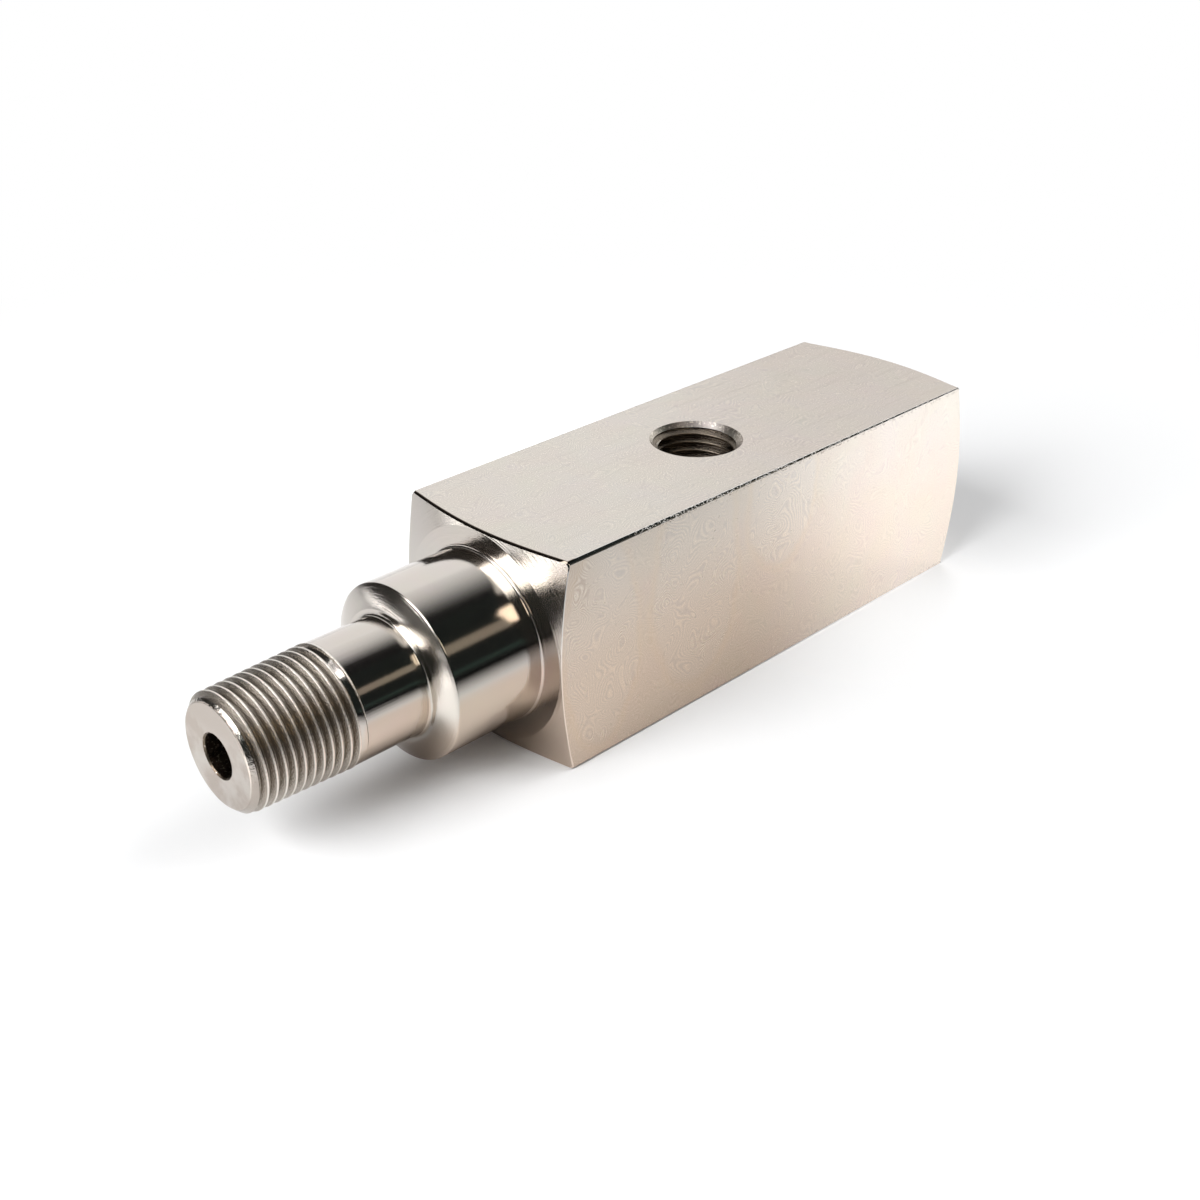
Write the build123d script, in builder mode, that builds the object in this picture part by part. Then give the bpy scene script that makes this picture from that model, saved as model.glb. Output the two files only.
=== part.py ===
"""Pressure gauge adapter: one length of square steel bar, turned at both ends, bored and drilled.

The flow axis is X. The male thread's tip face is at X = 0 and the block runs towards +X.
+Z leaves the gauge port, and the block lies on its flat at Z = -bar_side / 2. Millimetres.
"""

import os
from math import atan, cos, degrees, radians, tan

from build123d import *

# Square bar
bar_side = 32.0
block_length = 91.2
long_edge_radius = 0.5
end_edge_radius = 0.35

# Turned ends of the block: a flat ring, then a shallow cone out to the corners
front_ring_diameter = 31.4
front_cone_angle = 15.0
rear_ring_diameter = 31.4
rear_cone_angle = 20.0

# Collar in front of the block, with a low witness ring left at its root
collar_diameter = 25.3
collar_length = 15.9
collar_edge_radius = 0.25
collar_root_radius = 0.35
witness_height = 0.25

# Shoulder between the collar and the neck
shoulder_ring_diameter = 18.8
shoulder_cone_angle = 22.0
neck_root_radius = 0.45

# Plain neck behind the thread
neck_diameter = 17.0
neck_length = 10.2

# Male thread: R 3/8, crest diameter at the gauge plane, taper on diameter 1 in 16
thread_length = 16.2
thread_gauge_diameter = 16.662
thread_gauge_length = 6.4
thread_taper = 1 / 16
tip_face_diameter = 14.2
tip_chamfer_angle = 45.0

# Thread form: 19 turns to the inch, 55 degree flanks, crests and roots flat for a sixth of the pitch
thread_pitch = 25.4 / 19
thread_flank_angle = 55.0
thread_depth_share = 0.6403
thread_flat_share = 1 / 6
thread_turns = 14
first_crest_x = 1.416

# Where the thread dies out into the neck
runout_length = 2.4
runout_angle = 23.6

# Bore from the tip to the line port
bore_diameter = 6.0
bore_mouth_chamfer = 0.2

# Gauge port in the top flat: G 1/4, drilled to the thread's minor diameter
gauge_port_wall_diameter = 11.445
gauge_port_mouth_diameter = 14.1
gauge_port_depth = 12.0
gauge_port_offset = 43.3
gauge_passage_diameter = 5.0

# Line port in the rear face: G 3/8, drilled to the thread's minor diameter
line_port_wall_diameter = 14.95
line_port_mouth_diameter = 17.8
line_port_depth = 18.0

# Drills and countersinks
drill_point_angle = 118.0
countersink_angle = 90.0

# Places along the axis
half_side = bar_side / 2
shoulder_x = thread_length + neck_length
block_front_x = shoulder_x + collar_length
block_rear_x = block_front_x + block_length
gauge_port_x = block_front_x + gauge_port_offset
witness_x = block_front_x - witness_height

# Radii of the nose
tip_face_radius = tip_face_diameter / 2
neck_radius = neck_diameter / 2
shoulder_ring_radius = shoulder_ring_diameter / 2
collar_radius = collar_diameter / 2
witness_radius = collar_radius + collar_root_radius

# The crest radius grows along the thread, and the tip's chamfer is cut by a cone that reaches past it
crest_slope = thread_taper / 2
thread_start_radius = thread_gauge_diameter / 2 - thread_gauge_length * crest_slope
chamfer_slope = tan(radians(tip_chamfer_angle))
trim_height = 2.0
trim_radius = tip_face_radius + trim_height

# The thread is a ridge wound on a core. Its foot is sunk into the core, and both start in front of the tip
thread_depth = thread_pitch * thread_depth_share
taper_angle = degrees(atan(crest_slope))
foot_depth = 0.15
ridge_start_x = first_crest_x - 2 * thread_pitch
ridge_length = thread_turns * thread_pitch
ridge_height = thread_depth + foot_depth
ridge_foot_radius = thread_start_radius + ridge_start_x * crest_slope - ridge_height
ridge_top_half = thread_pitch * thread_flat_share / 2
ridge_foot_half = ridge_top_half + ridge_height * tan(radians(thread_flank_angle / 2))
core_start_x = ridge_start_x - thread_pitch
core_end_x = ridge_start_x + ridge_length + thread_pitch
core_start_radius = thread_start_radius + core_start_x * crest_slope - thread_depth
core_end_radius = thread_start_radius + core_end_x * crest_slope - thread_depth

# The run-out is a cone that rises from under the roots to the neck
runout_x = thread_length - runout_length
runout_radius = neck_radius - runout_length * tan(radians(runout_angle))

# The shoulder's cone runs from its flat ring out to the collar
shoulder_slope = tan(radians(shoulder_cone_angle))
shoulder_edge_x = shoulder_x + (collar_radius - shoulder_ring_radius) * shoulder_slope

# The cones that trim the block reach past its corners
front_ring_radius = front_ring_diameter / 2
rear_ring_radius = rear_ring_diameter / 2
envelope_radius = bar_side * 0.75
front_cone_x = block_front_x + (envelope_radius - front_ring_radius) * tan(radians(front_cone_angle))
rear_cone_x = block_rear_x - (envelope_radius - rear_ring_radius) * tan(radians(rear_cone_angle))


def root_arc(corner_x, shaft_radius, fillet_radius):
    """Start, middle and end of the fillet between a shaft along X and a face square to it."""
    middle_shift = fillet_radius * (1 - cos(radians(45)))
    start = (corner_x - fillet_radius, shaft_radius)
    middle = (corner_x - middle_shift, shaft_radius + middle_shift)
    end = (corner_x, shaft_radius + fillet_radius)
    return start, middle, end


def drilled_outline(wall_diameter, mouth_diameter, depth):
    """Half outline of a countersunk drilled hole, as (radius, depth) pairs from its mouth to its point."""
    wall_radius = wall_diameter / 2
    mouth_radius = mouth_diameter / 2
    sink_depth = (mouth_radius - wall_radius) / tan(radians(countersink_angle / 2))
    point_length = wall_radius / tan(radians(drill_point_angle / 2))
    return [(mouth_radius, 0), (wall_radius, sink_depth), (wall_radius, depth), (0, depth + point_length)]


with BuildPart() as threaded_end:
    # Ridge: one right-handed turn after another, on a path that follows the taper
    with BuildLine():
        ridge_path = Helix(
            pitch=thread_pitch,
            height=ridge_length,
            radius=ridge_foot_radius,
            center=(ridge_start_x, 0, 0),
            direction=(1, 0, 0),
            cone_angle=taper_angle,
        )
    with BuildSketch(Plane(origin=ridge_path @ 0, x_dir=(1, 0, 0), z_dir=(0, -1, 0))):
        Polygon(
            (-ridge_foot_half, 0),
            (ridge_foot_half, 0),
            (ridge_top_half, ridge_height),
            (-ridge_top_half, ridge_height),
            align=None,
        )
    sweep(path=ridge_path, is_frenet=True)

    # Core: the cone of the roots
    with BuildSketch(Plane.XZ):
        Polygon(
            (core_start_x, 0),
            (core_start_x, core_start_radius),
            (core_end_x, core_end_radius),
            (core_end_x, 0),
            align=None,
        )
    revolve(axis=Axis.X)

    # Both are trimmed to the thread's length, with the chamfer at the tip
    with BuildSketch(Plane.XZ):
        Polygon(
            (0, 0),
            (0, tip_face_radius),
            (trim_height / chamfer_slope, trim_radius),
            (thread_length, trim_radius),
            (thread_length, 0),
            align=None,
        )
    revolve(axis=Axis.X, mode=Mode.INTERSECT)

with BuildPart() as adapter_body:
    # Block: square bar with rounded long edges
    with BuildSketch(Plane.YZ.offset(block_front_x)):
        RectangleRounded(bar_side, bar_side, long_edge_radius)
    extrude(amount=block_length)

    # Both ends are turned, which leaves a ring and a cone that bulges the end of each flat
    with BuildSketch(Plane.XZ):
        Polygon(
            (block_front_x, 0),
            (block_front_x, front_ring_radius),
            (front_cone_x, envelope_radius),
            (rear_cone_x, envelope_radius),
            (block_rear_x, rear_ring_radius),
            (block_rear_x, 0),
            align=None,
        )
    revolve(axis=Axis.X, mode=Mode.INTERSECT)

    # The curved edges round both ends are broken with a file
    curved_edges = adapter_body.edges().filter_by(GeomType.LINE, reverse=True)
    fillet(curved_edges.filter_by(GeomType.CIRCLE, reverse=True), radius=end_edge_radius)

    # The threaded end grows from the same bar
    add(threaded_end.part)

    # Nose: run-out, neck, shoulder and collar with its front edge broken
    neck_root = root_arc(shoulder_x, neck_radius, neck_root_radius)
    collar_root = root_arc(witness_x, collar_radius, collar_root_radius)
    with BuildSketch(Plane.XZ) as nose_outline:
        with BuildLine():
            Polyline((runout_x, 0), (runout_x, runout_radius), (thread_length, neck_radius), neck_root[0])
            ThreePointArc(*neck_root)
            Polyline(
                neck_root[2],
                (shoulder_x, shoulder_ring_radius),
                (shoulder_edge_x, collar_radius),
                collar_root[0],
            )
            ThreePointArc(*collar_root)
            Polyline(collar_root[2], (block_front_x, witness_radius), (block_front_x, 0), (runout_x, 0))
        make_face()
        collar_corner = nose_outline.vertices().sort_by_distance((shoulder_edge_x, collar_radius, 0))[0]
        fillet(collar_corner, radius=collar_edge_radius)
    revolve(axis=Axis.X)

    # Line port in the rear face, drilled along -X
    with BuildSketch(Plane.XZ):
        Polygon(
            (block_rear_x, 0),
            *[
                (block_rear_x - depth, radius)
                for radius, depth in drilled_outline(
                    line_port_wall_diameter, line_port_mouth_diameter, line_port_depth
                )
            ],
            align=None,
        )
    revolve(axis=Axis.X, mode=Mode.SUBTRACT)

    # Bore from the tip into the line port, with its mouth lightly chamfered
    bore_radius = bore_diameter / 2
    with BuildSketch(Plane.XZ):
        Polygon(
            (0, 0),
            (0, bore_radius + bore_mouth_chamfer),
            (bore_mouth_chamfer, bore_radius),
            (block_rear_x - line_port_depth, bore_radius),
            (block_rear_x - line_port_depth, 0),
            align=None,
        )
    revolve(axis=Axis.X, mode=Mode.SUBTRACT)

    # Gauge port in the top flat, drilled along -Z
    with BuildSketch(Plane.XZ):
        Polygon(
            (gauge_port_x, half_side),
            *[
                (gauge_port_x + radius, half_side - depth)
                for radius, depth in drilled_outline(
                    gauge_port_wall_diameter, gauge_port_mouth_diameter, gauge_port_depth
                )
            ],
            align=None,
        )
    revolve(axis=Axis((gauge_port_x, 0, 0), (0, 0, 1)), mode=Mode.SUBTRACT)

    # Passage from the gauge port's bottom to the bore
    with BuildSketch(Plane.XY):
        with Locations((gauge_port_x, 0)):
            Circle(gauge_passage_diameter / 2)
    extrude(amount=half_side - gauge_port_depth, mode=Mode.SUBTRACT)

os.makedirs("parts", exist_ok=True)
adapter_body.part.label = "adapter_body"
export_step(adapter_body.part, "parts/adapter_body.step")
print("adapter_body", round(adapter_body.part.volume, 1), adapter_body.part.bounding_box())
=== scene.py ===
# %% [markdown]
# # A pressure gauge adapter of nickel plated steel
# The real part is one length of square steel bar. A lathe turned a threaded nose at one end and faced
# the other, a drill made a bore and two ports, and the whole was plated. Nothing on it moves and nothing
# is fixed to it, so it is one piece here too. This script models that piece again with finer edges and
# real threads, gives every surface the finish that its tool left, and photographs it in a small studio.

# %% Load the frame
from math import asin, atan2, copysign, cos, degrees, hypot, pi, radians, sin, tan

import bmesh
import bpy
from mathutils import Matrix, Vector


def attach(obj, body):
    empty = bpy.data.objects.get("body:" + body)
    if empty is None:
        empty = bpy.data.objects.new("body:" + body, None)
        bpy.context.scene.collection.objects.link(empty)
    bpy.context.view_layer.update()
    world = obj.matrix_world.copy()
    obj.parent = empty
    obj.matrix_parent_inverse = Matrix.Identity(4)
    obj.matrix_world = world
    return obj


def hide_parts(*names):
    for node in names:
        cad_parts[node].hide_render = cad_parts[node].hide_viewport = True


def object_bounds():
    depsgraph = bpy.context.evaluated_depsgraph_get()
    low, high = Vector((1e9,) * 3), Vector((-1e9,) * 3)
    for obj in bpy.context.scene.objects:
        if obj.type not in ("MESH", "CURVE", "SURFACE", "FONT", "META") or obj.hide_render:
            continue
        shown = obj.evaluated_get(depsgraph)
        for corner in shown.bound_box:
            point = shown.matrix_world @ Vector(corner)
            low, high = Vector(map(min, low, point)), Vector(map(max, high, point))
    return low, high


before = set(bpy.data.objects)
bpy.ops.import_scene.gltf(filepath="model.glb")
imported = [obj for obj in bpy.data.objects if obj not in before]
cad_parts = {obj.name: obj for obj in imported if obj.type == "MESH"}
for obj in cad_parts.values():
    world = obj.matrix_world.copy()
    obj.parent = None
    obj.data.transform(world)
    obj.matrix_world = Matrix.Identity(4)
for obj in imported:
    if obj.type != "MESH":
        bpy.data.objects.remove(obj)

mm = 0.001
cad_low, cad_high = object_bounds()
print("CAD box in mm:", [round(v / mm, 2) for v in (*cad_low, *cad_high)])

# %% [markdown]
# ## The sizes that everything follows
# X runs along the bore, from the tip of the thread at 0 to the rear face. The frame's box gives the
# overall length and the side of the bar, and each place along X is worked out from the lengths below.

# %% Sizes and places
half_side = cad_high.z
rear_x = cad_high.x
block_length = 91.2 * mm
collar_length = 15.9 * mm
gauge_port_offset = 43.3 * mm

front_x = rear_x - block_length
shoulder_x = front_x - collar_length
gauge_port_x = front_x + gauge_port_offset

end_ring_radius = 15.7 * mm
front_cone_slope = tan(radians(15))
rear_cone_slope = tan(radians(20))

neck_radius = 8.5 * mm
shoulder_ring_radius = 9.4 * mm
collar_radius = 12.65 * mm
witness_radius = 13.0 * mm
bore_radius = 3.0 * mm
thread_end_x = 16.2 * mm

pitch = 25.4 / 19 * mm
print("block from", round(front_x / mm, 2), "to", round(rear_x / mm, 2), "mm, pitch", round(pitch / mm, 4))

# %% [markdown]
# ## One slot for each finish
# A machined part shows which tool cut each face: the flats were ground along the bar, the ends faced on
# a lathe, the nose turned, the threads cut and the holes drilled. Each of these is a material. They are
# made empty here and filled in later, because a face has to carry its finish from the moment it is cut:
# a Boolean keeps the number of the slot on every face it copies.

# %% Empty finishes
finish_names = ("ground", "faced", "turned", "threaded", "drilled")
finishes = {name: bpy.data.materials.new(f"{name}_nickel") for name in finish_names}


def give_finish(piece, name, wanted=None):
    """Give the faces that wanted() picks, or every face, one of the finishes."""
    if not piece.data.materials:
        for material in finishes.values():
            piece.data.materials.append(material)
    number = finish_names.index(name)
    for face in piece.data.polygons:
        if wanted is None or wanted(face):
            face.material_index = number


print("finishes:", ", ".join(finish_names))

# %% [markdown]
# ## Helpers for working by hand
# The operators below act on whatever is selected, so every helper starts from nothing selected. Edges
# are picked in code by where they lie, which is the script's way of clicking on them.

# %% Selection helpers
def deselect():
    """Leave edit mode and select nothing."""
    if bpy.context.object and bpy.context.object.mode != "OBJECT":
        bpy.ops.object.mode_set(mode="OBJECT")
    bpy.ops.object.select_all(action="DESELECT")


def choose(piece):
    """Make one piece the only selected and active one."""
    deselect()
    piece.select_set(True)
    bpy.context.view_layer.objects.active = piece


def enter(piece):
    """Open one piece in edit mode."""
    choose(piece)
    bpy.ops.object.mode_set(mode="EDIT")


def leave():
    """Close edit mode."""
    bpy.ops.object.mode_set(mode="OBJECT")


def pick_edges(piece, wanted):
    """Select the edges that wanted() says yes to, and count them."""
    bpy.ops.mesh.select_mode(type="EDGE")
    bpy.ops.mesh.select_all(action="DESELECT")
    mesh = bmesh.from_edit_mesh(piece.data)
    found = [edge for edge in mesh.edges if wanted(edge)]
    for edge in found:
        edge.select_set(True)
    bmesh.update_edit_mesh(piece.data)
    return len(found)


def apply_modifier(piece, modifier):
    """Apply one modifier as if its button were pressed."""
    choose(piece)
    bpy.ops.object.modifier_apply(modifier=modifier.name)


# %% [markdown]
# ## Turning on a lathe
# A turned shape is a row of circles along its axis. It is one disc, extruded again and again, with each
# new ring moved along X and scaled to its radius, which closes both ends with a clean face. Rings are
# found again by place and radius, and bevelled where the real edge is broken.

# %% Turned shapes
turn_sides = 144
near = 0.01 * mm


def turn(name, stations, finish, sides=turn_sides):
    """A solid turned about X, from (place, radius) stations."""
    deselect()
    x, radius = stations[0]
    bpy.ops.mesh.primitive_circle_add(
        vertices=sides, radius=radius, fill_type="NGON", location=(x, 0, 0), rotation=(0, pi / 2, 0)
    )
    piece = bpy.context.active_object
    piece.name = name
    bpy.ops.object.transform_apply(location=True, rotation=True, scale=True)
    bpy.ops.object.mode_set(mode="EDIT")
    bpy.ops.mesh.select_all(action="SELECT")
    for next_x, next_radius in stations[1:]:
        bpy.ops.mesh.extrude_region_move(TRANSFORM_OT_translate={"value": (next_x - x, 0, 0)})
        if next_radius == 0:
            bpy.ops.mesh.merge(type="CENTER")
        else:
            growth = next_radius / radius
            bpy.ops.transform.resize(value=(1, growth, growth), center_override=(next_x, 0, 0))
        x, radius = next_x, next_radius
    bpy.ops.mesh.select_all(action="SELECT")
    bpy.ops.mesh.normals_make_consistent(inside=False)
    leave()
    give_finish(piece, finish)
    return piece


def on_ring(edge, x, radius):
    """Whether an edge is part of the circle of that radius at that place."""
    return all(
        abs(corner.co.x - x) < near and abs(hypot(corner.co.y, corner.co.z) - radius) < near
        for corner in edge.verts
    )


def round_ring(piece, x, radius, width, segments):
    """Bevel one circle of a turned solid."""
    enter(piece)
    count = pick_edges(piece, lambda edge: on_ring(edge, x, radius))
    bpy.ops.mesh.bevel(offset=width, segments=segments, affect="EDGES", profile=0.5)
    leave()
    print("  rounded", count, "edges at x", round(x / mm, 2), "by", round(width / mm, 3), "mm")


def combine(piece, tool, operation):
    """Join, cut or trim a piece with a tool, and throw the tool away."""
    modifier = piece.modifiers.new(operation.lower(), "BOOLEAN")
    modifier.operation = operation
    modifier.object = tool
    modifier.solver = "MANIFOLD"
    apply_modifier(piece, modifier)
    bpy.data.objects.remove(tool)
    print("  after", operation.lower(), len(piece.data.polygons), "faces")


# %% [markdown]
# ## The block
# The body is a length of square bar. Its long edges are broken with a file, more at the front than at the
# rear, and both ends were faced while the bar spun, so each end has a flat ring and a shallow cone that
# cuts the corners back. Where the cone meets the flats it leaves the curved edge that makes the block
# look barrelled. A cube is trimmed by a turned envelope, as the lathe trimmed the bar. The curved edges
# are then bevelled by weight: wide along the top and the bottom flat, and narrow along the sides and
# where they cross the rear's sharper long edges.

# %% Block
long_edge_width = 0.5 * mm
rear_share = 0.3
curved_edge_width = 0.30 * mm
upright_share = 0.3
nearly_flat = 0.28
polished = finish_names.index("turned")
spare = 1.0 * mm
envelope_radius = 24.0 * mm

deselect()
bpy.ops.mesh.primitive_cube_add(
    size=1,
    location=((front_x + rear_x) / 2, 0, 0),
    scale=(block_length + 2 * spare, 2 * half_side, 2 * half_side),
)
block = bpy.context.active_object
block.name = "adapter_shell"
bpy.ops.object.transform_apply(location=True, rotation=True, scale=True)
give_finish(block, "ground")
enter(block)
long_edges = pick_edges(block, lambda edge: abs(edge.verts[0].co.x - edge.verts[1].co.x) > block_length)
bpy.ops.mesh.bevel(
    offset=long_edge_width, segments=6, affect="EDGES", profile=nearly_flat, material=polished
)
leave()
for corner in block.data.vertices:
    if corner.co.x > rear_x:
        for axis in (1, 2):
            inset = half_side - abs(corner.co[axis])
            corner.co[axis] = copysign(half_side - inset * rear_share, corner.co[axis])

cone_height = envelope_radius - end_ring_radius
envelope = turn(
    "envelope",
    [
        (front_x, end_ring_radius),
        (front_x + cone_height * front_cone_slope, envelope_radius),
        (rear_x - cone_height * rear_cone_slope, envelope_radius),
        (rear_x, end_ring_radius),
    ],
    "faced",
)
combine(block, envelope, "INTERSECT")


def between_cone_and_flat(edge):
    """Whether an edge parts an end's cone from one of the bar's flats."""
    if len(edge.link_faces) != 2:
        return False
    leans = sorted(abs(face.normal.x) for face in edge.link_faces)
    return leans[0] < 0.01 and leans[1] > 0.9


enter(block)
curved_edges = pick_edges(block, between_cone_and_flat)
mesh = bmesh.from_edit_mesh(block.data)
widths = mesh.edges.layers.float.new("bevel_weight_edge")
for edge in mesh.edges:
    if edge.select:
        flat = min(edge.link_faces, key=lambda face: abs(face.normal.x)).normal
        crosses_long_edge = min(abs(flat.y), abs(flat.z)) > 0.05
        narrow = crosses_long_edge and edge.verts[0].co.x > gauge_port_x
        edge[widths] = upright_share if narrow else upright_share + (1 - upright_share) * abs(flat.z)
bmesh.update_edit_mesh(block.data)
leave()
filed = block.modifiers.new("filed", "BEVEL")
filed.limit_method = "WEIGHT"
filed.width = curved_edge_width
filed.segments = 4
filed.profile = nearly_flat
filed.use_clamp_overlap = False
filed.material = polished
apply_modifier(block, filed)
print("block:", long_edges, "long edges,", curved_edges, "curved edge pieces")

# %% [markdown]
# ## The nose
# In front of the block the bar is turned down in steps: a low witness ring where the tool stopped, the
# collar, a shoulder with a flat ring and a cone, and the plain neck behind the thread. The tool's nose
# radius stays in each inner corner and the outer edges are broken, so each ring gets a bevel of its own
# width. The shoulder leans back more and more as it nears the collar. The nose reaches into the block.

# %% Nose
witness_x = front_x - 0.25 * mm
runout_length = 1.3 * mm
runout_radius = 7.75 * mm
hidden_radius = 5.0 * mm
first_lean = 14.5
added_lean = 15
shoulder_steps = 6
shoulder_width = (collar_radius - shoulder_ring_radius) / shoulder_steps
shoulder = [(shoulder_x, shoulder_ring_radius)]
for step in range(shoulder_steps):
    x, radius = shoulder[-1]
    lean = radians(first_lean + added_lean * (step + 0.5) / shoulder_steps)
    shoulder.append((x + shoulder_width * tan(lean), radius + shoulder_width))
shoulder_edge_x = shoulder[-1][0]

nose = turn(
    "nose",
    [
        (thread_end_x - 4.0 * mm, hidden_radius),
        (thread_end_x - runout_length, runout_radius),
        (thread_end_x, neck_radius),
        (shoulder_x, neck_radius),
        *shoulder,
        (witness_x, collar_radius),
        (witness_x, witness_radius),
        (front_x + 2 * mm, witness_radius),
        (front_x + 3 * mm, 2 * hidden_radius),
    ],
    "turned",
)
give_finish(nose, "faced", lambda face: face.normal.x < -0.8)
rounded_rings = (
    (shoulder_x, neck_radius, 0.45 * mm, 5),
    (shoulder_x, shoulder_ring_radius, 0.06 * mm, 2),
    (shoulder_edge_x, collar_radius, 0.14 * mm, 4),
    (witness_x, collar_radius, 0.33 * mm, 4),
    (witness_x, witness_radius, 0.015 * mm, 2),
)
for ring in rounded_rings:
    round_ring(nose, *ring)
combine(block, nose, "UNION")

# %% [markdown]
# ## A thread
# A pipe thread has the same outline all along: flanks 55 degrees apart, round roots, and crests that the
# die left narrow and nearly flat. One pitch of it is drawn point by point and a Screw modifier winds it,
# which gives a true spiral that a stack of rings can't. Both ends are drawn in to a point on the axis,
# so that the rod is closed and can be joined to the nose or cut out of a hole.

# %% Thread rods
flank_lean = radians(62.5)
root_rounding = 0.1373 * pitch
crest_rounding = 0.05 * pitch
crest_flat = 0.053 * pitch
thread_depth = 0.6403 * pitch
helix_steps = 96


def arc(x, radius, rounding, low, high, every=1):
    """Points of a round stretch, from low to high quarters of the flank's lean."""
    angles = [flank_lean * quarter / 4 for quarter in range(low, high + 1, every)]
    return [(x + abs(rounding) * sin(angle), radius + rounding * (1 - cos(angle))) for angle in angles]


def thread_outline(crest_radius, start_x):
    """The points of one pitch, from crest to crest, as (place, radius)."""
    end_x = start_x + pitch
    return [
        (start_x, crest_radius),
        *arc(start_x + crest_flat, crest_radius, -crest_rounding, 0, 4, 2),
        *arc(start_x + pitch / 2, crest_radius - thread_depth, root_rounding, -4, 4),
        *arc(end_x - crest_flat, crest_radius, -crest_rounding, -4, 0, 2),
        (end_x, crest_radius),
    ]


def draw_outline(name, points):
    """A chain of edges through the points, in the XY plane."""
    deselect()
    bpy.ops.mesh.primitive_plane_add(size=mm)
    piece = bpy.context.active_object
    piece.name = name
    bpy.ops.object.mode_set(mode="EDIT")
    bpy.ops.mesh.select_mode(type="VERT")
    bpy.ops.mesh.select_all(action="SELECT")
    bpy.ops.mesh.merge(type="CENTER")
    x, radius = points[0]
    bpy.ops.transform.translate(value=(x, radius, 0))
    for next_x, next_radius in points[1:]:
        step = (next_x - x, next_radius - radius, 0)
        bpy.ops.mesh.extrude_vertices_move(TRANSFORM_OT_translate={"value": step})
        x, radius = next_x, next_radius
    leave()
    return piece


def thread_rod(name, crest_radius, start_x, turns):
    """A closed threaded rod along X."""
    weld = 0.0005 * mm
    rod = draw_outline(name, thread_outline(crest_radius, start_x))
    helix = rod.modifiers.new("helix", "SCREW")
    helix.axis = "X"
    helix.angle = 2 * pi
    helix.screw_offset = pitch
    helix.iterations = turns
    helix.steps = helix_steps
    helix.render_steps = helix_steps
    apply_modifier(rod, helix)
    enter(rod)
    bpy.ops.mesh.select_all(action="SELECT")
    bpy.ops.mesh.remove_doubles(threshold=weld)
    for point_x in (start_x + 0.2 * pitch, start_x + (turns + 0.8) * pitch):
        pick_edges(rod, lambda edge: edge.is_boundary and abs(edge.verts[0].co.x - point_x) < 1.5 * pitch)
        bpy.ops.mesh.extrude_edges_move()
        bpy.ops.transform.resize(value=(0, 0, 0), center_override=(point_x, 0, 0))
    bpy.ops.mesh.select_all(action="SELECT")
    bpy.ops.mesh.remove_doubles(threshold=weld)
    bpy.ops.mesh.select_all(action="SELECT")
    bpy.ops.mesh.normals_make_consistent(inside=False)
    leave()
    give_finish(rod, "threaded")
    print("  thread rod", name, len(rod.data.polygons), "faces")
    return rod


# %% [markdown]
# ## The male thread
# This thread is tapered: its diameter grows by 1 in 16 so that it seals as it is screwed in. Each point
# of a straight rod is moved out or in by its distance from the gauge plane. A turned envelope then trims
# the rod to the blank that the thread was cut in, with the chamfer at the tip.

# %% Male thread
gauge_plane_x = 6.4 * mm
thread_gauge_radius = 8.331 * mm
taper = 1 / 32
tip_face_radius = 7.1 * mm
blank_radius = 9.2 * mm
chamfer_length = 1.5 * mm
first_crest_x = 1.082 * mm - 2 * pitch

male = thread_rod("male", thread_gauge_radius, first_crest_x, 14)
for corner in male.data.vertices:
    radius = hypot(corner.co.y, corner.co.z)
    if radius > 1 * mm:
        growth = 1 + (corner.co.x - gauge_plane_x) * taper / radius
        corner.co.y *= growth
        corner.co.z *= growth

blank = turn(
    "blank",
    [
        (0, tip_face_radius),
        (chamfer_length, tip_face_radius + chamfer_length),
        (2.2 * mm, blank_radius),
        (thread_end_x, blank_radius),
        (thread_end_x + 0.2 * mm, 8.3 * mm),
        (thread_end_x + 0.3 * mm, hidden_radius),
    ],
    "faced",
)
round_ring(blank, 0, tip_face_radius, 0.08 * mm, 2)
combine(male, blank, "INTERSECT")
combine(block, male, "UNION")

# %% [markdown]
# ## Drilling and tapping
# Both ports are made in the workshop's order: a drill with its cone point and a countersunk mouth, then a
# tap. The tap's crests reach just inside the drilled wall, so a narrow land of the drilled surface stays
# between the turns, as it does on real tapped holes. The tools are turned along X like every other one
# and put in their place just before they cut.

# %% Drilling and tapping
drill_point_slope = tan(radians(59))


def drill_and_tap(name, mouth, bottom, radii, thread, reach, place=Matrix(), sides=turn_sides):
    """Cut a hole between two places along X, from radii of wall and mouth, and tap it."""
    wall_radius, mouth_radius = radii
    drill_stations = [
        (mouth + spare, mouth_radius + spare),
        (mouth - (mouth_radius - wall_radius), wall_radius),
        (bottom, wall_radius),
        (bottom - wall_radius / drill_point_slope, 0),
    ]
    drill = turn(f"{name}_drill", drill_stations, "drilled", sides)
    drill.data.transform(place)
    combine(block, drill, "DIFFERENCE")
    tap = thread_rod(f"{name}_tap", *thread)
    combine(tap, turn(f"{name}_reach", reach, "drilled", sides), "INTERSECT")
    tap.data.transform(place)
    combine(block, tap, "DIFFERENCE")


print("a drill's point leans by", round(degrees(atan2(1, drill_point_slope)), 1), "degrees")

# %% [markdown]
# ## The line port and the bore
# The rear end has a parallel pipe thread for the line. One 6 mm hole runs from the tip to it. The hole's
# mouth is broken by a small chamfer, which shows as a bright rim in the tip's face.

# %% Line port and bore
line_bottom_x = rear_x - 18.0 * mm
line_tap_radius = 8.5 * mm
bore_chamfer = 0.2 * mm

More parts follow.
